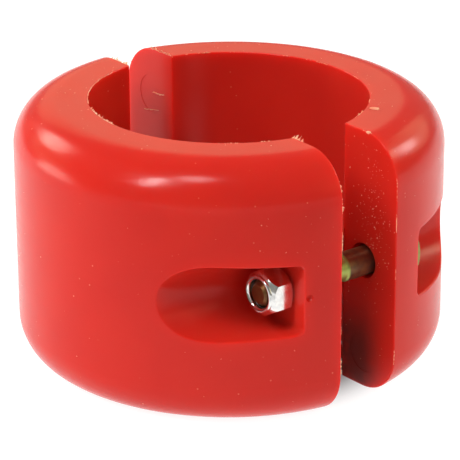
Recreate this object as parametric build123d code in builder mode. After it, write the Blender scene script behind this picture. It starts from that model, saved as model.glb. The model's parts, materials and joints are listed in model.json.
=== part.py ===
from build123d import *
import math
import os

# A split hose collar: two moulded halves drawn together around a hose by two hex bolts with
# nylon-insert lock nuts. Millimetres. Z is the axis of the hose, and the collar stands on Z = 0
# with its bore centred on X = Y = 0. The bolts lie along Y, the split runs along X.
# The left bolt is drawn up further than the right one, so the front half sits slightly askew.

# the moulded ring
outer_radius = 71.5
ring_height = 89.0
bore_radius = 46.5
shoulder_radius = 15.0
outer_edge_radius = 0.4
bore_edge_radius = 0.6

# the split: how far each half's end faces lie from the hose axis, and the front half's skew
front_end_face = 8.28
rear_end_face = 11.2
front_skew = -2.6
rear_turn = 180

# the bolt line
bolt_offset = 55.0
bolt_height = ring_height / 2
bolt_hole_radius = 5.9
wall_under_seat = 12.85

# the pocket around each nut and each bolt head: a round-bottomed trough that widens outwards
pocket_radius = 11.6
pocket_draft = 2.45
pocket_floor_at_seat = 45.5
pocket_floor_angle = 7.2
pocket_drop = 0.5
pocket_length = 60.0
seat_corner_radius = 2.0
pocket_rim_radius = 0.6

# marks left by the mould
ejector_radius = 7.0
ejector_depth = 0.15
ejector_offset = 56.3
ejector_below_top = 16.5
ejector_above_base = 12.4
bubble_radius = 1.25
bubble_angle = -15.8
bubble_proud = 0.35

# 3/8-16 bolt, 2 1/4 inches long, with a thinner neck between its shank and its thread
shank_radius = 4.7625
bolt_length = 57.15
thread_length = 31.75
thread_radius = 4.70
neck_radius = 4.3
neck_length = 3.0
bolt_tip_chamfer = 1.7
hex_across_flats = 14.2875
hex_corner_radius = hex_across_flats / math.sqrt(3)
hex_bevel_angle = 30
hex_bevel_inset = 0.35
past_corner = 0.3
head_height = 5.9
washer_face_radius = 6.7
washer_face_height = 0.4
head_overlap = 0.6

# thin lock nut with a nylon ring held under a rolled lip; heights are from the bearing face
right_nut_base = 24.1
left_nut_base = 19.2
nut_height = 9.2
nut_thread_height = 5.6
nut_thread_radius = 4.82
nut_mouth_radius = 5.25
dome_low = 5.7
dome_high = 8.35
dome_radius = 4.5
lip_outer_radius = 6.4
lip_round = 0.7
lip_inner_radius = 4.85
lip_thickness = 1.5
insert_outer_radius = 5.85
insert_inner_radius = 4.82
insert_bevel = 0.4
insert_clearance = 0.02

# how far a cutter or its sketch runs past what it cuts
section_reach = 2 * outer_radius
overrun = 1.0

# how near an edge must lie to a face or surface to be picked, and how far from it to be left out
on_face = 0.01
on_surface = 0.05
on_bore = 0.1
clear_of_surface = 1.0
clear_of_split = 3.0
rim_half_height = 1.5 * pocket_radius


def radius_at_middle(edge):
    middle = edge @ 0.5
    return math.hypot(middle.X, middle.Y)


def edges_on_face(half, distance):
    """The edges that lie in the plane square to Y, distance from the hose axis on the -Y side."""
    return half.edges().filter_by_position(Axis.Y, -distance - on_face, on_face - distance)


def trough_section(side, distance, depth):
    """A D-shaped section of one pocket, distance from the hose axis and depth past its seat."""
    radius = pocket_radius + depth * math.tan(math.radians(pocket_draft))
    floor = pocket_floor_at_seat - depth * math.tan(math.radians(pocket_floor_angle))
    centre = side * (floor + radius)
    mouth = side * section_reach
    middle = bolt_height - pocket_drop
    with BuildSketch(Plane.XZ.offset(distance + depth)) as section:
        with BuildLine():
            Line((mouth, middle - radius), (centre, middle - radius))
            ThreePointArc((centre, middle - radius), (side * floor, middle), (centre, middle + radius))
            Line((centre, middle + radius), (mouth, middle + radius))
            Line((mouth, middle + radius), (mouth, middle - radius))
        make_face()
    return section.sketch


def collar_half(end_face, turn, with_bubble):
    """One half of the ring, made on the -Y side and then turned about Z into its place."""
    seat_distance = end_face + wall_under_seat
    with BuildPart() as half:
        # the section of the ring, swept once round the hose axis
        with BuildSketch(Plane.XZ):
            with BuildLine():
                flat_edge = outer_radius - shoulder_radius
                top_of_side = ring_height - shoulder_radius
                Line((bore_radius, 0), (flat_edge, 0))
                RadiusArc((flat_edge, 0), (outer_radius, shoulder_radius), -shoulder_radius)
                Line((outer_radius, shoulder_radius), (outer_radius, top_of_side))
                RadiusArc((outer_radius, top_of_side), (flat_edge, ring_height), -shoulder_radius)
                Line((flat_edge, ring_height), (bore_radius, ring_height))
                Line((bore_radius, ring_height), (bore_radius, 0))
            make_face()
        revolve(axis=Axis.Z)
        split(bisect_by=Plane.XZ.offset(end_face), keep=Keep.TOP)

        # a trough at each end, open outwards, with a flat seat across the bolt
        for side in (1, -1):
            at_seat = trough_section(side, seat_distance, 0)
            at_mouth = trough_section(side, seat_distance, pocket_length)
            loft(sections=[at_seat, at_mouth], mode=Mode.SUBTRACT)

        inside_surface = outer_radius - clear_of_surface
        seat_edges = edges_on_face(half, seat_distance)
        corners = [edge for edge in seat_edges if radius_at_middle(edge) < inside_surface]
        fillet(corners, seat_corner_radius)

        low_rim = bolt_height - rim_half_height
        high_rim = bolt_height + rim_half_height
        rim = []
        for edge in half.edges():
            middle = edge @ 0.5
            at_surface = abs(radius_at_middle(edge) - outer_radius) < on_surface
            if at_surface and low_rim < middle.Z < high_rim and middle.Y < -end_face - clear_of_split:
                rim.append(edge)
        fillet(rim, pocket_rim_radius)

        # the edges of the two end faces, first the bore corners and then the rest
        profile = edges_on_face(half, end_face)
        inner = [edge for edge in profile if radius_at_middle(edge) < bore_radius + on_bore]
        fillet(inner, bore_edge_radius)
        profile = edges_on_face(half, end_face)
        past_bore = bore_radius + bore_edge_radius + clear_of_surface
        outer = [edge for edge in profile if radius_at_middle(edge) > past_bore]
        fillet(outer, outer_edge_radius)

        # the clearance holes for the bolts
        with BuildSketch(Plane.XZ.offset(end_face)):
            with Locations((bolt_offset, bolt_height), (-bolt_offset, bolt_height)):
                Circle(bolt_hole_radius)
        extrude(amount=wall_under_seat, mode=Mode.SUBTRACT)

        # round ejector marks, one high and one low
        with BuildSketch(Plane.XZ.offset(end_face)):
            high = ring_height - ejector_below_top
            with Locations((ejector_offset, high), (-ejector_offset, ejector_above_base)):
                Circle(ejector_radius)
        extrude(amount=ejector_depth, mode=Mode.SUBTRACT)

        # a small burst bubble beside one pocket
        if with_bubble:
            angle = math.radians(bubble_angle)
            reach = outer_radius + bubble_proud
            with Locations((reach * math.cos(angle), reach * math.sin(angle), bolt_height)):
                Sphere(bubble_radius, mode=Mode.SUBTRACT)

    with BuildPart() as placed:
        add(half.part.rotate(Axis.Z, turn))
    return placed


def bevel_rise(radius, beyond):
    """How far a hexagon's bevel cone climbs between two radii."""
    return (beyond - radius) * math.tan(math.radians(hex_bevel_angle))


def clamp_bolt(side):
    """Hex bolt, head in the rear half's pocket, its tip inside the nut on the front half."""
    seat = rear_end_face + wall_under_seat
    with BuildPart() as bolt:
        # the hexagon, bevelled at its outer end
        with BuildSketch(Plane.XZ.offset(-seat - washer_face_height)):
            RegularPolygon(hex_across_flats / 2, 6, major_radius=False, rotation=30)
        extrude(amount=-(head_height - washer_face_height))
        with BuildSketch(Plane.XY):
            with BuildLine():
                head_top = seat + head_height
                corner = hex_corner_radius + past_corner
                crown = hex_across_flats / 2 - hex_bevel_inset
                Polyline(
                    (0, seat),
                    (washer_face_radius, seat),
                    (corner, seat + washer_face_height),
                    (corner, head_top - bevel_rise(crown, corner)),
                    (crown, head_top),
                    (0, head_top),
                    close=True,
                )
            make_face()
        revolve(axis=Axis.Y, mode=Mode.INTERSECT)

        # washer face, smooth shank, neck, and threaded end with a bevelled tip
        with BuildSketch(Plane.XY):
            with BuildLine():
                tip = seat - bolt_length
                thread_start = tip + thread_length
                neck_end = thread_start + neck_length
                inside_head = seat + head_overlap
                Polyline(
                    (0, inside_head),
                    (washer_face_radius, inside_head),
                    (washer_face_radius, seat),
                    (shank_radius, seat),
                    (shank_radius, neck_end),
                    (neck_radius, neck_end - (shank_radius - neck_radius)),
                    (neck_radius, thread_start),
                    (thread_radius, thread_start - (thread_radius - neck_radius)),
                    (thread_radius, tip + bolt_tip_chamfer),
                    (thread_radius - bolt_tip_chamfer, tip),
                    (0, tip),
                    close=True,
                )
            make_face()
        revolve(axis=Axis.Y)
    with BuildPart() as placed:
        add(bolt.part.moved(Location((side * bolt_offset, 0, bolt_height))))
    return placed


def lock_nut(side, base):
    """Hexagon with a washer face below, domed above into a lip rolled over the nylon ring."""
    with BuildPart() as nut:
        with BuildSketch(Plane.XZ.offset(base)):
            RegularPolygon(hex_across_flats / 2, 6, major_radius=False, rotation=30)
        extrude(amount=nut_height)
        with BuildSketch(Plane.XY):
            with BuildLine():
                corner = hex_corner_radius + past_corner
                bevel_top = washer_face_height + bevel_rise(washer_face_radius, corner)
                crest = -base - nut_height
                Polyline(
                    (lip_outer_radius - lip_round, crest),
                    (0, crest),
                    (0, -base),
                    (washer_face_radius, -base),
                    (washer_face_radius, -base - washer_face_height),
                    (corner, -base - bevel_top),
                    (corner, -base - dome_low),
                )
                RadiusArc((corner, -base - dome_low), (lip_outer_radius, -base - dome_high), dome_radius)
                Line((lip_outer_radius, -base - dome_high), (lip_outer_radius, crest + lip_round))
                RadiusArc(
                    (lip_outer_radius, crest + lip_round),
                    (lip_outer_radius - lip_round, crest),
                    lip_round,
                )
            make_face()
        revolve(axis=Axis.Y, mode=Mode.INTERSECT)

        # the threaded hole, its countersunk mouth, the ring's groove and the rounded lip opening
        with BuildSketch(Plane.XY):
            with BuildLine():
                groove_start = -base - nut_thread_height
                groove_end = crest + lip_thickness
                mouth_depth = nut_mouth_radius - nut_thread_radius
                Polyline(
                    (lip_inner_radius + lip_round, crest),
                    (lip_inner_radius + lip_round, crest - overrun),
                    (0, crest - overrun),
                    (0, overrun - base),
                    (nut_mouth_radius, overrun - base),
                    (nut_mouth_radius, -base),
                    (nut_thread_radius, -base - mouth_depth),
                    (nut_thread_radius, groove_start),
                    (insert_outer_radius, groove_start),
                    (insert_outer_radius, groove_end),
                    (lip_inner_radius, groove_end),
                    (lip_inner_radius, crest + lip_round),
                )
                RadiusArc(
                    (lip_inner_radius, crest + lip_round),
                    (lip_inner_radius + lip_round, crest),
                    lip_round,
                )
            make_face()
        revolve(axis=Axis.Y, mode=Mode.SUBTRACT)
    with BuildPart() as placed:
        add(nut.part.moved(Location((side * bolt_offset, 0, bolt_height))))
    return placed


def nylon_insert(side, base):
    """The ring that grips the bolt's thread, filling the groove under the lip."""
    with BuildPart() as ring:
        with BuildSketch(Plane.XY):
            with BuildLine():
                inner_end = -base - nut_thread_height - insert_clearance
                outer_end = -base - nut_height + lip_thickness + insert_clearance
                Polyline(
                    (insert_outer_radius - insert_clearance, inner_end),
                    (insert_outer_radius - insert_clearance, outer_end),
                    (insert_inner_radius + insert_bevel, outer_end),
                    (insert_inner_radius, outer_end + insert_bevel),
                    (insert_inner_radius, inner_end),
                    close=True,
                )
            make_face()
        revolve(axis=Axis.Y)
    with BuildPart() as placed:
        add(ring.part.moved(Location((side * bolt_offset, 0, bolt_height))))
    return placed


os.makedirs("parts", exist_ok=True)

pieces = {
    "front_half": collar_half(front_end_face, front_skew, True),
    "rear_half": collar_half(rear_end_face, rear_turn, False),
    "clamp_bolt_right": clamp_bolt(1),
    "clamp_bolt_left": clamp_bolt(-1),
    "lock_nut_right": lock_nut(1, right_nut_base),
    "lock_nut_left": lock_nut(-1, left_nut_base),
    "nylon_insert_right": nylon_insert(1, right_nut_base),
    "nylon_insert_left": nylon_insert(-1, left_nut_base),
}

for name, piece in pieces.items():
    piece.part.label = name
    export_step(piece.part, f"parts/{name}.step")
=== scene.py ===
import json
import math
import random

import bmesh
import bpy
from mathutils import Matrix, Vector, noise


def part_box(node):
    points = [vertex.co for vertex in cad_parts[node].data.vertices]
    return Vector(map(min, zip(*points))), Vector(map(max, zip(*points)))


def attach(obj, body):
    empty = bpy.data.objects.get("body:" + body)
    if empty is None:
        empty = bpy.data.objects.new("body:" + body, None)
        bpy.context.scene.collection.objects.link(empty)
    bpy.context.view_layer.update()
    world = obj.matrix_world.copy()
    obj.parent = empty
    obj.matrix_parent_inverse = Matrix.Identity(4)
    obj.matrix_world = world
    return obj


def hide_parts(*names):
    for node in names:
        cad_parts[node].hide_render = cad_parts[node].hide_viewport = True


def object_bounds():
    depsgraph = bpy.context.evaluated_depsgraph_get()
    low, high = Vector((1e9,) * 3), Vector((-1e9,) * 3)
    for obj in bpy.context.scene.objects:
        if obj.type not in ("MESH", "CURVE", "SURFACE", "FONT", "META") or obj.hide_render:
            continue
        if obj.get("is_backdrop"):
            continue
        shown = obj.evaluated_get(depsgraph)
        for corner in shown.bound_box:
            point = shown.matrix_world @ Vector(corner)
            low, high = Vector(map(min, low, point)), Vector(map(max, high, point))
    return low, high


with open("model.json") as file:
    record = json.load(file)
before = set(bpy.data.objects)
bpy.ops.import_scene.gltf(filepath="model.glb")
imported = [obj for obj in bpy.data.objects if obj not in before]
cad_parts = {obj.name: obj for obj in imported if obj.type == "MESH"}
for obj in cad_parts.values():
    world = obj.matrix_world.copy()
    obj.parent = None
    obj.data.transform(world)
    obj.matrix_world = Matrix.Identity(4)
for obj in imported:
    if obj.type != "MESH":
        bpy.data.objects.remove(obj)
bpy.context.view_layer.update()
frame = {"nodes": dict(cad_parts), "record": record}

# ---------------------------------------------------------------- sizes, in metres
mm = 0.001
rear_low, rear_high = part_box("rear_half")
outer_radius = rear_high.y
ring_height = rear_high.z
shoulder_radius = 15 * mm
bore_radius = frame["record"]["mounts"][0]["dims"]["r_mm"] * mm
rear_end_face = rear_low.y
front_end_face = 8.28 * mm
front_skew = math.radians(-2.6)
rear_turn = math.pi
flat_edge = outer_radius - shoulder_radius
centre = Vector((0, 0, ring_height / 2))


# ---------------------------------------------------------------- camera
camera_azimuth = math.radians(51.063)
camera_elevation = math.radians(21.65)
camera_roll = math.radians(-0.288)
camera_distance = 0.8981
lens_pixels = 2669.1
image_side = 460
sensor_width = 36
nearest, farthest = 0.01, 50
aim_right, aim_down = 0.00021, 0.00315


def direction(azimuth, elevation):
    """Unit vector from the collar towards an azimuth and elevation; azimuth 0 looks along +Y."""
    flat = math.cos(elevation)
    return Vector((math.sin(azimuth) * flat, -math.cos(azimuth) * flat, math.sin(elevation)))


def aim(obj, back, right, place):
    """Turns obj so that its -Z looks along -back, and puts it at place."""
    turn = Matrix((right, back.cross(right), back)).transposed()
    obj.matrix_world = Matrix.Translation(place) @ turn.to_4x4()


def add_camera():
    back = direction(camera_azimuth, camera_elevation)
    level = Vector((math.cos(camera_azimuth), math.sin(camera_azimuth), 0))
    right = level * math.cos(camera_roll) + back.cross(level) * math.sin(camera_roll)
    data = bpy.data.cameras.new("camera")
    data.sensor_width = sensor_width
    data.lens = lens_pixels / image_side * sensor_width
    data.clip_start, data.clip_end = nearest, farthest
    camera = bpy.data.objects.new("camera", data)
    bpy.context.scene.collection.objects.link(camera)
    target = centre + right * aim_right - back.cross(right) * aim_down
    aim(camera, back, right, target + back * camera_distance)
    bpy.context.scene.camera = camera


add_camera()


# ---------------------------------------------------------------- light, floor and backdrop
def softbox(name, azimuth, elevation, distance, width, height, power, colour=(1, 1, 1)):
    """An oval soft light that looks at the collar. Degrees, metres and watts."""
    a = math.radians(azimuth)
    e = math.radians(elevation)
    light = bpy.data.lights.new(name, "AREA")
    light.shape = "ELLIPSE"
    light.size, light.size_y = width, height
    light.energy = power
    light.color = colour
    lamp = bpy.data.objects.new(name, light)
    bpy.context.scene.collection.objects.link(lamp)
    back = direction(a, e)
    aim(lamp, back, Vector((math.cos(a), math.sin(a), 0)), centre + back * distance)


warm = (1.0, 0.89, 0.52)
cream = (1.0, 0.94, 0.82)
softbox("key", 3, 45, 1.2, 0.14, 0.50, 7.6)
softbox("key_high", 23, 63, 1.2, 0.26, 0.30, 3.4)
softbox("left_panel", -64, 20, 1.4, 0.90, 0.70, 1.2, warm)
softbox("left_shoulder", -76, 31, 1.2, 0.48, 0.38, 4.0, cream)
softbox("front_low", -49, 1, 1.2, 0.54, 0.46, 4.4, cream)
softbox("back_left", -120, 25, 1.4, 0.90, 0.70, 1.1, warm)
softbox("back_panel", 180, 25, 1.4, 1.00, 0.70, 2.5, warm)
softbox("right_panel", 120, 22, 1.4, 0.80, 0.70, 1.1, warm)
softbox("right_back", 150, 38, 1.2, 0.50, 0.50, 3.2, warm)
softbox("right_shoulder", 169, 26, 1.2, 0.28, 0.26, 2.3)

sky_colour = (1.0, 0.96, 0.86, 1)
sky_strength = 0.28
world = bpy.data.worlds.new("studio")
bpy.context.scene.world = world
world.use_nodes = True
sky = world.node_tree.nodes["Background"]
sky.inputs["Color"].default_value = sky_colour
sky.inputs["Strength"].default_value = sky_strength

bpy.context.scene.view_settings.view_transform = "Standard"
bpy.context.scene.view_settings.look = "None"


def new_object(name, mesh):
    """Puts a mesh in the scene as an object."""
    obj = bpy.data.objects.new(name, mesh)
    bpy.context.scene.collection.objects.link(obj)
    return obj


def finish_mesh(name, builder, smooth_angle=None):
    """Writes a bmesh to a new object; edges flatter than smooth_angle are shaded smooth."""
    bmesh.ops.recalc_face_normals(builder, faces=builder.faces)
    if smooth_angle is not None:
        for face in builder.faces:
            face.smooth = True
        for edge in builder.edges:
            edge.smooth = len(edge.link_faces) == 2 and edge.calc_face_angle(0) < smooth_angle
    mesh = bpy.data.meshes.new(name)
    builder.to_mesh(mesh)
    builder.free()
    return new_object(name, mesh)


floor_size = 6.0
floor_cells = 24
floor_drop = 0.3 * mm


def floor_sheet():
    """One wide level sheet just under the collar."""
    builder = bmesh.new()
    bmesh.ops.create_grid(builder, x_segments=floor_cells, y_segments=floor_cells, size=floor_size)
    bmesh.ops.translate(builder, verts=builder.verts, vec=(0, 0, -floor_drop))
    return finish_mesh("studio_floor", builder)


floor = floor_sheet()
floor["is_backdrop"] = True


# ---------------------------------------------------------------- material helpers
class Nodes:
    """Short names for building a material's nodes."""

    def __init__(self, name):
        self.material = bpy.data.materials.new(name)
        self.material.use_nodes = True
        self.tree = self.material.node_tree
        self.shader = self.tree.nodes["Principled BSDF"]

    def add(self, kind, **settings):
        node = self.tree.nodes.new(kind)
        for key, value in settings.items():
            setattr(node, key, value)
        return node

    def link(self, out, into):
        self.tree.links.new(out, into)

    def noise(self, scale, detail, roughness, vector):
        node = self.add("ShaderNodeTexNoise")
        node.inputs["Scale"].default_value = scale
        node.inputs["Detail"].default_value = detail
        node.inputs["Roughness"].default_value = roughness
        self.link(vector, node.inputs["Vector"])
        return node.outputs["Fac"]

    def voronoi(self, scale, vector, output="Distance"):
        node = self.add("ShaderNodeTexVoronoi")
        node.inputs["Scale"].default_value = scale
        self.link(vector, node.inputs["Vector"])
        return node.outputs[output]

    def band(self, value, low, high, bottom=0.0, top=1.0):
        """value mapped smoothly from low..high to bottom..top, and held outside."""
        node = self.add("ShaderNodeMapRange", interpolation_type="SMOOTHSTEP")
        self.link(value, node.inputs["Value"])
        node.inputs["From Min"].default_value = low
        node.inputs["From Max"].default_value = high
        node.inputs["To Min"].default_value = bottom
        node.inputs["To Max"].default_value = top
        return node.outputs["Result"]

    def maths(self, operation, a, b):
        node = self.add("ShaderNodeMath", operation=operation)
        for socket, value in ((node.inputs[0], a), (node.inputs[1], b)):
            if isinstance(value, (int, float)):
                socket.default_value = value
            else:
                self.link(value, socket)
        return node.outputs[0]

    def blend(self, factor, a, b):
        """Colour a where factor is 0, colour b where it is 1."""
        node = self.add("ShaderNodeMix", data_type="RGBA")
        self.link(factor, node.inputs["Factor"])
        colours = [socket for socket in node.inputs if socket.type == "RGBA"]
        for socket, value in zip(colours, (a, b)):
            if isinstance(value, tuple):
                socket.default_value = value
            else:
                self.link(value, socket)
        return [socket for socket in node.outputs if socket.type == "RGBA"][0]

    def bump(self, height, strength, distance, normal=None):
        node = self.add("ShaderNodeBump")
        node.inputs["Strength"].default_value = strength
        node.inputs["Distance"].default_value = distance
        self.link(height, node.inputs["Height"])
        if normal is not None:
            self.link(normal, node.inputs["Normal"])
        return node.outputs["Normal"]

    def place(self, stretch=None, turn=(0, 0, 0)):
        """Object coordinates, optionally turned and then stretched."""
        where = self.add("ShaderNodeTexCoord").outputs["Object"]
        if stretch is None:
            return where
        node = self.add("ShaderNodeMapping")
        node.inputs["Scale"].default_value = stretch
        node.inputs["Rotation"].default_value = turn
        self.link(where, node.inputs["Vector"])
        return node.outputs["Vector"]

    def paint(self, colour=None, roughness=None, normal=None):
        for socket, value in (("Base Color", colour), ("Roughness", roughness), ("Normal", normal)):
            if value is not None:
                self.link(value, self.shader.inputs[socket])

    def set(self, **values):
        for key, value in values.items():
            self.shader.inputs[key.replace("_", " ")].default_value = value


def srgb(r, g, b):
    """An sRGB colour, 0 to 255, as the linear colour that nodes take."""
    out = []
    for c in (r, g, b):
        c = c / 255
        out.append(c / 12.92 if c <= 0.04045 else ((c + 0.055) / 1.055) ** 2.4)
    return (*out, 1.0)


# ---------------------------------------------------------------- materials
def red_plastic():
    """Glossy moulded plastic, a little translucent, with dust specks, scratches and a patch of painted
    shade.
    """
    darker, lighter = srgb(199, 38, 29), srgb(204, 41, 30)
    speck_scale = 700
    speck_edge, speck_core = 0.26, 0.10
    speck_strength = 0.5
    on_surface, off_surface = 0.4 * mm, 1.4 * mm
    shade_full, shade_none = 12 * mm, 42 * mm
    shade_inner, shade_outer = 54 * mm, 67 * mm
    smooth, dull = 0.19, 0.26
    scatter = (8.0 * mm, 1.1 * mm, 0.6 * mm)

    n = Nodes("red_plastic")
    where = n.place()
    cloudy = n.noise(30, 2, 0.5, where)
    base = n.blend(n.band(cloudy, 0.35, 0.65), darker, lighter)

    # specks: the middles of a few cells, thicker in some places than in others
    cells = n.voronoi(speck_scale, where)
    pick = n.add("ShaderNodeSeparateColor")
    n.link(n.voronoi(speck_scale, where, "Color"), pick.inputs[0])
    rare = n.band(pick.outputs[0], 0.975, 0.985)
    patchy = n.band(n.noise(45, 2, 0.5, where), 0.45, 0.62, 0.1, 1.0)
    speck = n.maths("MULTIPLY", n.band(cells, speck_edge, speck_core), n.maths("MULTIPLY", rare, patchy))

    # painted shade: darker low down on the rear half's end face, where shade falls
    spot = n.add("ShaderNodeSeparateXYZ")
    n.link(where, spot.inputs[0])
    off_face = n.maths("ABSOLUTE", n.maths("SUBTRACT", spot.outputs["Y"], rear_end_face), 0)
    on_face = n.band(off_face, off_surface, on_surface)
    low = n.band(spot.outputs["Z"], shade_none, shade_full)
    inner = n.band(spot.outputs["X"], shade_outer, shade_inner)
    shade_noise = n.band(n.noise(60, 4, 0.65, where), 0.30, 0.60, 0.45, 0.85)
    low_on_face = n.maths("MULTIPLY", on_face, low)
    painted_shade = n.maths("MULTIPLY", low_on_face, n.maths("MULTIPLY", inner, shade_noise))
    # the painted shade's dark colour, mixed over the base
    shaded_base = n.blend(painted_shade, base, srgb(84, 42, 38))
    colour = n.blend(n.maths("MULTIPLY", speck, speck_strength), shaded_base, srgb(238, 170, 130))

    # fine scratches over a slow waviness
    scratches = n.noise(70, 4, 0.6, n.place((1, 1, 9), (0.5, 0.2, 0.4)))
    haze = n.band(scratches, 0.35, 0.75, smooth, dull)
    wave = n.bump(n.noise(22, 1, 0.4, where), 0.10, 1.0 * mm)
    fine = n.bump(scratches, 0.02, 0.04 * mm, wave)
    rough = n.maths("ADD", haze, n.maths("MULTIPLY", speck, 0.3))
    n.paint(colour, rough, n.bump(speck, 0.3, 0.08 * mm, fine))
    n.set(Subsurface_Weight=0.85, Subsurface_Scale=1.0, IOR=1.45, Specular_IOR_Level=0.20)
    n.set(Subsurface_Radius=scatter)
    return n.material


def pale_flash():
    """Thin flash and crumbs of the same plastic, pale where light passes through them."""
    n = Nodes("pale_flash")
    where = n.place()
    tone = n.band(n.noise(260, 3, 0.6, where), 0.35, 0.65)
    n.paint(
        n.blend(tone, srgb(236, 128, 100), srgb(244, 186, 152)),
        n.band(n.noise(900, 2, 0.5, where), 0.3, 0.7, 0.35, 0.55),
        n.bump(n.noise(1600, 2, 0.6, where), 0.2, 0.03 * mm),
    )
    n.set(Subsurface_Weight=0.6, Subsurface_Scale=1.0)
    n.set(Subsurface_Radius=(0.5 * mm, 0.3 * mm, 0.2 * mm))
    return n.material


def bright_zinc():
    """Bright zinc plate: near-mirror with faint cloudiness and drawing marks."""
    n = Nodes("bright_zinc")
    where = n.place()
    n.set(Metallic=1.0)
    tone = n.band(n.noise(280, 3, 0.6, where), 0.3, 0.7)
    n.paint(
        n.blend(tone, srgb(214, 214, 214), srgb(236, 236, 233)),
        n.band(n.noise(650, 4, 0.6, where), 0.3, 0.7, 0.10, 0.22),
        n.bump(n.noise(420, 3, 0.6, where), 0.12, 0.04 * mm),
    )
    return n.material


def yellow_zinc():
    """Yellow chromated zinc with painted light: a lit yellow-green thread, a shank painted brownish as
    shade and reflected red plastic, an olive head and an end painted brownish as shade inside the nut.
    """
    thread_stops, shank_starts = 1.2 * mm, 2.0 * mm
    end_shade_starts, end_shade_full = -20 * mm, -26 * mm
    shank_stops, head_starts = 22 * mm, 24 * mm

    n = Nodes("yellow_zinc")
    where = n.place()
    n.set(Metallic=1.0)
    mottle = n.band(n.noise(160, 3, 0.6, where), 0.3, 0.7)
    # painted light: lighter yellow-green where light falls on the thread and neck; the shank painted
    # brownish as shade and reflected red plastic
    lit_greenish = n.blend(mottle, srgb(150, 168, 88), srgb(176, 184, 104))
    shade_reflection_brown = n.blend(mottle, srgb(108, 96, 80), srgb(150, 118, 80))
    olive = n.blend(mottle, srgb(126, 132, 78), srgb(150, 146, 82))
    # painted shade: the end inside the nut painted darker and brownish
    end_shade_colour = n.blend(mottle, srgb(104, 70, 52), srgb(128, 92, 56))
    along = n.add("ShaderNodeSeparateXYZ")
    n.link(where, along.inputs[0])
    on_shank = n.band(along.outputs["Y"], thread_stops, shank_starts)
    on_head = n.band(along.outputs["Y"], shank_stops, head_starts)
    on_end = n.band(along.outputs["Y"], end_shade_starts, end_shade_full)
    body = n.blend(on_head, n.blend(on_shank, lit_greenish, shade_reflection_brown), olive)
    n.paint(
        n.blend(on_end, body, end_shade_colour),
        n.band(n.noise(600, 3, 0.6, where), 0.3, 0.7, 0.34, 0.46),
        n.bump(n.noise(700, 3, 0.6, where), 0.06, 0.03 * mm),
    )
    return n.material


def dark_nylon():
    """The nuts' locking rings: plain dark nylon."""
    n = Nodes("dark_nylon")
    where = n.place()
    n.paint(
        n.blend(n.noise(500, 3, 0.6, where), srgb(30, 29, 27), srgb(52, 50, 46)),
        n.band(n.noise(900, 2, 0.5, where), 0.3, 0.7, 0.40, 0.52),
        n.bump(n.noise(1500, 2, 0.6, where), 0.2, 0.03 * mm),
    )
    return n.material


def floor_finish():
    """A pale sheet that glows, hardly at all under the collar and less in a band in front of it."""
    dark_within, bright_beyond = flat_edge - 16 * mm, flat_edge + 8 * mm
    under_glow, full_glow = 0.05, 0.98
    band_starts, band_full = 122 * mm, 215 * mm
    band_fades, band_ends = 300 * mm, 460 * mm
    band_level = 0.5

    n = Nodes("floor_white")
    where = n.place()
    n.paint(n.blend(n.noise(8, 2, 0.5, where), srgb(116, 116, 116), srgb(122, 122, 122)))
    n.set(Roughness=0.7, Emission_Color=(1, 1, 1, 1))
    from_axis = n.add("ShaderNodeVectorMath", operation="LENGTH")
    n.link(where, from_axis.inputs[0])
    glow = n.band(from_axis.outputs["Value"], dark_within, bright_beyond, under_glow, full_glow)
    towards_camera = n.add("ShaderNodeVectorMath", operation="DOT_PRODUCT")
    n.link(where, towards_camera.inputs[0])
    towards_camera.inputs[1].default_value = direction(camera_azimuth, 0)
    near = n.band(towards_camera.outputs["Value"], band_starts, band_full, 1.0, band_level)
    far = n.band(towards_camera.outputs["Value"], band_fades, band_ends, band_level, 1.0)
    fade = n.maths("MAXIMUM", near, far)
    n.link(n.maths("MULTIPLY", glow, fade), n.shader.inputs["Emission Strength"])
    return n.material


plastic = red_plastic()
flash_plastic = pale_flash()
zinc = bright_zinc()
bolt_finish = yellow_zinc()
nylon = dark_nylon()
floor.data.materials.append(floor_finish())


def dress(node, material):
    """Gives a CAD node its material without touching its mesh."""
    for slot in frame["nodes"][node].material_slots:
        slot.link = "OBJECT"
        slot.material = material


for side in ("right", "left"):
    dress("lock_nut_" + side, zinc)
    dress("nylon_insert_" + side, nylon)
dress("front_half", plastic)
dress("rear_half", plastic)


def belongs(obj, body, material):
    """Finishes a new piece: its material and the body it rides on."""
    obj.data.materials.append(material)
    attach(obj, body)


# ---------------------------------------------------------------- bolts with a real thread
shank_radius = 4.7625 * mm
thread_major = 4.70 * mm
thread_root = 3.85 * mm
thread_pitch = 25.4 / 16 * mm
thread_length = 31.75 * mm
neck_radius = 4.3 * mm
neck_length = 3.0 * mm
neck_chamfer = 0.35 * mm
head_height = 5.9 * mm
half_flats = 14.2875 / 2 * mm
washer_radius = 6.7 * mm
washer_height = 0.4 * mm
crown_inset = 0.35 * mm
tip_chamfer = 1.7 * mm
under_head_round = 0.4 * mm
edge_bevel = 0.12 * mm
crown_lean = math.radians(30)
crown_step_in, crown_step_down = 1.2 * mm, 0.05 * mm
corner_step, short_step = 0.08 * mm, 0.1 * mm
rings_per_turn = 14
runout_turns = 1.5
root_share, flank_share = 0.22, 0.65


def hex_radius(angle):
    """Distance from the axis to a hexagon's side, with corners at 0, 60, 120 degrees and so on."""
    sixth = math.pi / 3
    return half_flats / math.cos((angle % sixth) - sixth / 2)


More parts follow.
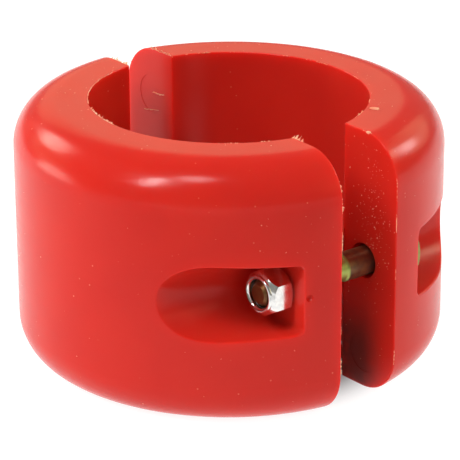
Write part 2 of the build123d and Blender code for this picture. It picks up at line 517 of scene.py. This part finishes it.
def bolt_rings(tip, head_top):
    """The bolt as rings along its axis, each a function from angle to (radius, height)."""
    seat = head_top - head_height
    thread_end = tip + thread_length
    rings = []

    def plain(radius, height):
        rings.append(lambda angle: (radius, height))

    def threaded(height):
        depth = min(1.0, max(0.0, (thread_end - height) / (runout_turns * thread_pitch)))

        def ring(angle):
            phase = (height / thread_pitch - angle / (2 * math.pi)) % 1.0
            flank = min(1.0, max(0.0, (abs(phase - 0.5) * 2 - root_share) / flank_share))
            full = thread_root + (thread_major - thread_root) * flank
            cut = neck_radius + (full - neck_radius) * depth
            return min(cut, thread_major - tip_chamfer + (height - tip)), height

        rings.append(ring)

    steps = int(thread_length / thread_pitch * rings_per_turn)
    for i in range(steps + 1):
        threaded(tip + thread_length * i / steps)
    neck_end = thread_end + neck_length
    plain(neck_radius, thread_end + short_step)
    plain(neck_radius, neck_end - (shank_radius - neck_radius) - neck_chamfer)
    plain(neck_radius + corner_step, neck_end - (shank_radius - neck_radius))
    plain(shank_radius - corner_step, neck_end - short_step)
    plain(shank_radius, neck_end)
    plain(shank_radius, seat - under_head_round)
    for turn in (30, 60, 90):
        a = math.radians(turn)
        plain(
            shank_radius + under_head_round * (1 - math.cos(a)),
            seat - under_head_round * (1 - math.sin(a)),
        )
    plain(washer_radius - edge_bevel, seat)
    plain(washer_radius, seat + edge_bevel)

    crown = half_flats - crown_inset
    lean = math.tan(crown_lean)

    def top_at(radius):
        return head_top - max(0.0, radius - crown) * lean

    def under(angle):
        return hex_radius(angle), seat + washer_height

    def side_high(angle):
        return hex_radius(angle), top_at(hex_radius(angle)) - edge_bevel

    def side_top(angle):
        radius = hex_radius(angle) - edge_bevel
        return radius, top_at(radius)

    rings += [under, side_high, side_top]
    plain(crown, head_top)
    plain(crown - crown_step_in, head_top - crown_step_down)
    return rings


metal_smooth = math.radians(32)


def turned_mesh(name, axis_x, axis_z, rings, segments=96):
    """A closed mesh from rings about an axis along +Y, capped by a fan at each end."""
    builder = bmesh.new()
    rows = []
    for ring in rings:
        row = []
        for i in range(segments):
            angle = 2 * math.pi * i / segments
            radius, height = ring(angle)
            spot = (axis_x + radius * math.sin(angle), height, axis_z + radius * math.cos(angle))
            row.append(builder.verts.new(spot))
        rows.append(row)
    for low, high in zip(rows, rows[1:]):
        for i in range(segments):
            j = (i + 1) % segments
            builder.faces.new((low[i], low[j], high[j], high[i]))
    for row in (rows[0], rows[-1]):
        hub = builder.verts.new((axis_x, row[0].co.y, axis_z))
        for i in range(segments):
            builder.faces.new((hub, row[i], row[(i + 1) % segments]))
    return finish_mesh(name, builder, metal_smooth)


for side in ("right", "left"):
    node = "clamp_bolt_" + side
    low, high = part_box(node)
    axis_x, axis_z = (low.x + high.x) / 2, (low.z + high.z) / 2
    bolt = turned_mesh("hex_bolt_" + side, axis_x, axis_z, bolt_rings(low.y, high.y))
    belongs(bolt, side + "_bolt", bolt_finish)
    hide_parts(node)


# ---------------------------------------------------------------- flash, crumbs and small faults
class Half:
    """One half of the collar: where its own points stand, and the body that carries it."""

    def __init__(self, body, end_face, turn):
        self.body = body
        self.end_face = end_face
        self.turn = Matrix.Rotation(turn, 3, "Z")

    def place(self, point):
        return self.turn @ Vector(point)


front = Half("front_clamp", front_end_face, front_skew)
rear = Half("rear_clamp", rear_end_face, rear_turn)


def side_profile(z):
    """Radius and slope angle of the ring's outer surface at height z."""
    over = max(z - (ring_height - shoulder_radius), 0) - max(shoulder_radius - z, 0)
    slope = math.asin(max(-1.0, min(1.0, over / shoulder_radius)))
    return flat_edge + shoulder_radius * math.cos(slope), slope


def end_edge(half, side, z_from, z_to):
    """Path up the outer edge of one end face: a point and its outward direction for 0..1."""
    def path(s):
        z = z_from + (z_to - z_from) * s
        radius, slope = side_profile(z)
        x = side * math.sqrt(max(radius**2 - half.end_face**2, 0))
        outer = Vector((x, -half.end_face, 0)).normalized() * math.cos(slope)
        outer.z = math.sin(slope)
        out = (outer + Vector((0, 1, 0))).normalized()
        return half.place((x, -half.end_face, z)), half.turn @ out
    return path


def bore_edge(half, from_deg, to_deg):
    """Path along the top edge of the bore, angles about Z in the half's own frame."""
    def path(s):
        angle = math.radians(from_deg + (to_deg - from_deg) * s)
        out = Vector((-math.cos(angle), -math.sin(angle), 1)).normalized()
        point = (bore_radius * math.cos(angle), bore_radius * math.sin(angle), ring_height)
        return half.place(point), half.turn @ out
    return path


def land_edge(half, side, x_from, x_to):
    """Path along the end of the flat top, from the bore outwards."""
    def path(s):
        point = (side * (x_from + (x_to - x_from) * s), -half.end_face, ring_height)
        return half.place(point), half.turn @ Vector((0, 1, 1)).normalized()
    return path


flash_sink = 0.60 * mm
flash_hidden = 0.36 * mm
flash_width = 0.20 * mm
flash_tip_share = 0.3
flash_step = 0.22 * mm
fewest_steps = 24
path_samples = 40
fades_over = 8


def wander(travel, rate, seed, row):
    """Smooth noise along a path, from its own row for each use."""
    return noise.noise(Vector((travel * rate, seed, row)))


def flash(name, half, path, height, cover, seed, material=None, least=0.0):
    """A closed ragged fin of plastic along a path, sunk out of sight where it has no height."""
    builder = bmesh.new()
    samples = [path(i / path_samples)[0] for i in range(path_samples + 1)]
    length = sum((b - a).length for a, b in zip(samples, samples[1:]))
    steps = max(fewest_steps, int(length / flash_step))
    rows = []
    for i in range(steps + 1):
        s = i / steps
        point, out = path(s)
        ahead = path(min(1, s + 0.5 / steps))[0] - path(max(0, s - 0.5 / steps))[0]
        across = ahead.normalized().cross(out)
        travel = s * length / mm
        slow = wander(travel, 0.16, seed, 0.3)
        fast = wander(travel, 1.3, seed, 7.1)
        tooth = wander(travel, 3.1, seed, 3.3)
        present = min(1.0, max(0.0, slow * 2.2 + cover))
        ragged = max(least, 0.65 + 1.1 * fast + 0.8 * tooth)
        amount = present * ragged * min(1.0, s * fades_over, (1 - s) * fades_over)
        lean = across * height * amount * wander(travel, 0.7, seed, 5.5)
        foot = point - out * flash_sink
        tip = point + out * ((height + flash_hidden) * amount - flash_hidden) + lean
        thin = flash_width * flash_tip_share
        corners = (
            foot - across * flash_width,
            tip - across * thin / 2,
            tip + across * thin / 2,
            foot + across * flash_width,
        )
        rows.append([builder.verts.new(c) for c in corners])
    for a, b in zip(rows, rows[1:]):
        for k in range(4):
            m = (k + 1) % 4
            builder.faces.new((a[k], a[m], b[m], b[k]))
    builder.faces.new(rows[0])
    builder.faces.new(rows[-1][::-1])
    piece = finish_mesh(name, builder)
    belongs(piece, half.body, material or flash_plastic)


def face_line(half, side, points):
    """Path over one end face through points given as (distance from the axis, height)."""
    spots = [Vector((side * across * mm, -half.end_face, up * mm)) for across, up in points]

    def path(s):
        at = min(s * (len(spots) - 1), len(spots) - 1.001)
        i = int(at)
        return half.place(spots[i].lerp(spots[i + 1], at - i)), half.turn @ Vector((0, 1, 0))
    return path


flash("flash_bore_front_left", front, bore_edge(front, 196, 286), 0.36 * mm, 1.2, 11)
flash("flash_bore_front_right", front, bore_edge(front, 286, 348), 0.26 * mm, 0.15, 12)
flash("flash_bore_rear_left", rear, bore_edge(rear, 292, 344), 0.30 * mm, 0.10, 13)
flash("flash_bore_rear_right", rear, bore_edge(rear, 196, 292), 0.26 * mm, 0.25, 14)
flash("flash_end_front_right", front, end_edge(front, 1, 6 * mm, 87.5 * mm), 0.20 * mm, 0.05, 15)
flash("flash_end_front_left", front, end_edge(front, -1, 8 * mm, 87 * mm), 0.30 * mm, 0.25, 16)
flash("flash_end_rear_right", rear, end_edge(rear, -1, 6 * mm, 87.5 * mm), 0.24 * mm, 0.12, 17)
flash("flash_end_rear_left", rear, end_edge(rear, 1, 8 * mm, 87.5 * mm), 0.34 * mm, 0.35, 18)
flash("flash_land_front_left", front, land_edge(front, -1, 46 * mm, 57 * mm), 0.8 * mm, 1.6, 19)
flash("flash_land_front_right", front, land_edge(front, 1, 45.2 * mm, 51 * mm), 1.0 * mm, 1.4, 20)
flash("flash_land_rear_left", rear, land_edge(rear, 1, 45 * mm, 57 * mm), 0.8 * mm, 1.2, 21)
flash("flash_land_rear_right", rear, land_edge(rear, -1, 53 * mm, 58 * mm), 0.6 * mm, 0.8, 22)
gouge_height = 0.45 * mm
upper_gouge = face_line(rear, 1, [(49.5, 73.6), (53.8, 73.2), (56.3, 73.3)])
lower_gouge = face_line(rear, 1, [(52.5, 67.3), (58.0, 66.2), (61.8, 65.6)])
flash("gouge_upper", rear, upper_gouge, gouge_height, 1.0, 23)
flash("gouge_lower", rear, lower_gouge, gouge_height, 1.0, 24)
bore_corner = math.sqrt(bore_radius**2 - rear_end_face**2)
strip_base, strip_rise = 1, 52


def bore_corner_path(s):
    """Up the lower part of the rear half's right bore corner, pointing in over the bore."""
    height = (strip_base + strip_rise * s) * mm
    return rear.place((-bore_corner, -rear_end_face, height)), Vector((-1, 0, 0))


flash("flash_bore_corner_rear", rear, bore_corner_path, 1.1 * mm, 3.0, 26, plastic, 0.8)
inner_line = face_line(rear, -1, [(48.2, 12.0), (48.2, 84.0)])
flash("witness_rear_right", rear, inner_line, 0.10 * mm, 0.35, 25)


pocket_low, pocket_high = 28 * mm, 60 * mm
pocket_inner = 36 * mm
seat_depth = 20 * mm
bolt_low, bolt_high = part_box("clamp_bolt_right")
bolt_offset = (bolt_low.x + bolt_high.x) / 2
bolt_level = (bolt_low.z + bolt_high.z) / 2
hole_clear = 6.5 * mm
mark_offset, mark_level, mark_clear = 56.3 * mm, 12.4 * mm, 7.4 * mm
edge_clear = 0.6 * mm
wall_low, wall_high = 6, 88
top_inner, top_outer = 47.5, 57
crumb_sizes = (0.06, 0.07, 0.08, 0.09, 0.10, 0.12, 0.17)
crumb_smooth = math.radians(60)
lump_smooth = math.radians(80)


def wall_spot(half, angle, z):
    """A point and outward direction on the wall, or nothing at a pocket or past the half's end."""
    radius, slope = side_profile(z)
    a = math.radians(angle)
    flat = Vector((math.cos(a), math.sin(a), 0))
    out = flat * math.cos(slope)
    out.z = math.sin(slope)
    spot = flat * radius
    if abs(spot.x) > pocket_inner and spot.y < -seat_depth and pocket_low < z < pocket_high:
        return None
    if spot.y > -half.end_face - edge_clear:
        return None
    spot.z = z
    return half.place(spot), half.turn @ out


def face_spot(half, side, across, z):
    """A point and outward direction on an end face, or nothing at its hole, low mark or rim."""
    if math.hypot(across - bolt_offset, z - bolt_level) < hole_clear:
        return None
    if math.hypot(across - mark_offset, z - mark_level) < mark_clear:
        return None
    if across > math.sqrt(side_profile(z)[0] ** 2 - half.end_face**2) - edge_clear:
        return None
    return half.place((side * across, -half.end_face, z)), half.turn @ Vector((0, 1, 0))


def top_spot(half, angle, radius):
    """A point and outward direction on the flat top."""
    a = math.radians(angle)
    return half.place((radius * math.cos(a), radius * math.sin(a), ring_height)), Vector((0, 0, 1))


def crumb(builder, chance, spot, out, size):
    """One irregular crumb of plastic half sunk into a surface."""
    made = bmesh.ops.create_icosphere(builder, subdivisions=2, radius=size)
    swing = out.to_track_quat("Z", "Y").to_matrix()
    spin = Matrix.Rotation(chance.uniform(0, math.tau), 3, "Z")
    long = chance.uniform(0.6, 1.6)
    wide = chance.uniform(0.5, 1.0)
    tall = chance.uniform(0.4, 0.7)
    stretch = Matrix.Diagonal((long, wide, tall))
    shift = Vector((chance.uniform(0, 99), 0, 0))
    for vert in made["verts"]:
        lumpy = 1 + 0.7 * noise.noise(vert.co / size * 0.9 + shift)
        vert.co = spot + swing @ (spin @ (stretch @ (vert.co * lumpy)))


def crumbs(name, half, spots, seed):
    """One mesh of loose crumbs for a half, placed by a seeded generator of spots."""
    chance = random.Random(seed)
    builder = bmesh.new()
    for spot, out in filter(None, spots(chance)):
        crumb(builder, chance, spot, out, chance.choice(crumb_sizes) * mm)
    piece = finish_mesh(name, builder, crumb_smooth)
    belongs(piece, half.body, flash_plastic)


def front_dust(chance):
    """Dust all over the wall, thicker high up at two places, and dust on the top."""
    for i in range(70):
        yield wall_spot(front, chance.uniform(188, 350), chance.uniform(wall_low, wall_high) * mm)
    for i in range(26):
        yield wall_spot(front, chance.gauss(340, 6), chance.gauss(62, 7) * mm)
    for i in range(30):
        yield top_spot(front, chance.uniform(192, 348), chance.uniform(top_inner, top_outer) * mm)
    for i in range(16):
        yield wall_spot(front, chance.gauss(232, 8), chance.uniform(72, 88) * mm)


def rear_dust(chance):
    """Dust on the right end face, thickest above its middle, then on the wall and the top."""
    for i in range(190):
        across = chance.gauss(60, 4.5) * mm
        yield face_spot(rear, -1, across, min(84, max(6, chance.gauss(60, 12))) * mm)
    for i in range(45):
        yield face_spot(rear, -1, chance.uniform(47, 69) * mm, chance.uniform(10, 70) * mm)
    for i in range(60):
        yield wall_spot(rear, chance.uniform(192, 348), chance.uniform(wall_low, wall_high) * mm)
    for i in range(24):
        yield top_spot(rear, chance.uniform(194, 346), chance.uniform(top_inner, top_outer) * mm)


crumbs("dust_front", front, front_dust, 31)
crumbs("dust_rear", rear, rear_dust, 32)


def lump(name, half, middle, turn, size):
    """A low oval fault, half sunk, of the plastic that shows pale; on the blister the pale colour is a
    painted highlight.
    """
    builder = bmesh.new()
    made = bmesh.ops.create_icosphere(builder, subdivisions=4, radius=1.0)
    along = Matrix.Rotation(math.radians(turn), 3, "Z")
    shape = Matrix.Diagonal(Vector(size) * mm)
    for vert in made["verts"]:
        lumpy = 1 + 0.3 * noise.noise(vert.co * 1.3)
        vert.co = Vector(middle) * mm + along @ (shape @ (vert.co * lumpy))
    piece = finish_mesh(name, builder, lump_smooth)
    belongs(piece, half.body, flash_plastic)


blister_middle = (41.0, 28.0, ring_height / mm)
nick_middle = (56.6, rear_end_face / mm + 0.2, ring_height / mm - 0.25)
# the blister's pale colour is a painted highlight
lump("blister_rear_painted_highlight", rear, blister_middle, 38, (1.7, 1.0, 0.35))
lump("nick_rear", rear, nick_middle, 20, (1.0, 0.35, 0.5))

# ---------------------------------------------------------------- overall size of the shown pieces
low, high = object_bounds()
